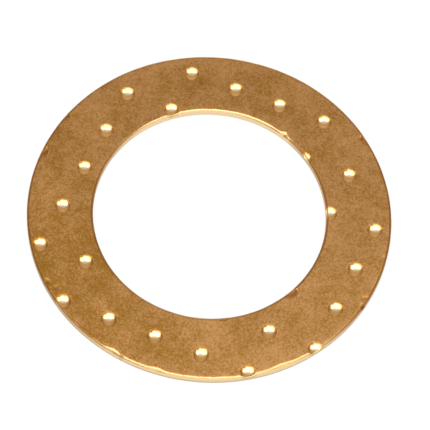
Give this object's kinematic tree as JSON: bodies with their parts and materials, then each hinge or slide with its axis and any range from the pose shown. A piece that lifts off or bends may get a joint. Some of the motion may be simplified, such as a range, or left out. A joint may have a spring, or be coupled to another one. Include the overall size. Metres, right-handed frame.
{
  "type": "thrust washer",
  "caption": "Flat bronze ring that takes axial load round a shaft, with rolled edges and staggered rows of round oil pockets on its bearing face.",
  "frame": {"origin": "centre of the back face, on the axis of the bore", "axes": "+Z along the bore, from the plain back to the bearing face with the pockets; the rows of pockets run at 26.9 degrees from +X"},
  "size_m": [0.066, 0.066, 0.0015],
  "materials": {
    "bronze": "satin, with bright sheared edges"
  },
  "bodies": {
    "root": {"washer": "bronze"}
  },
  "joints": []
}
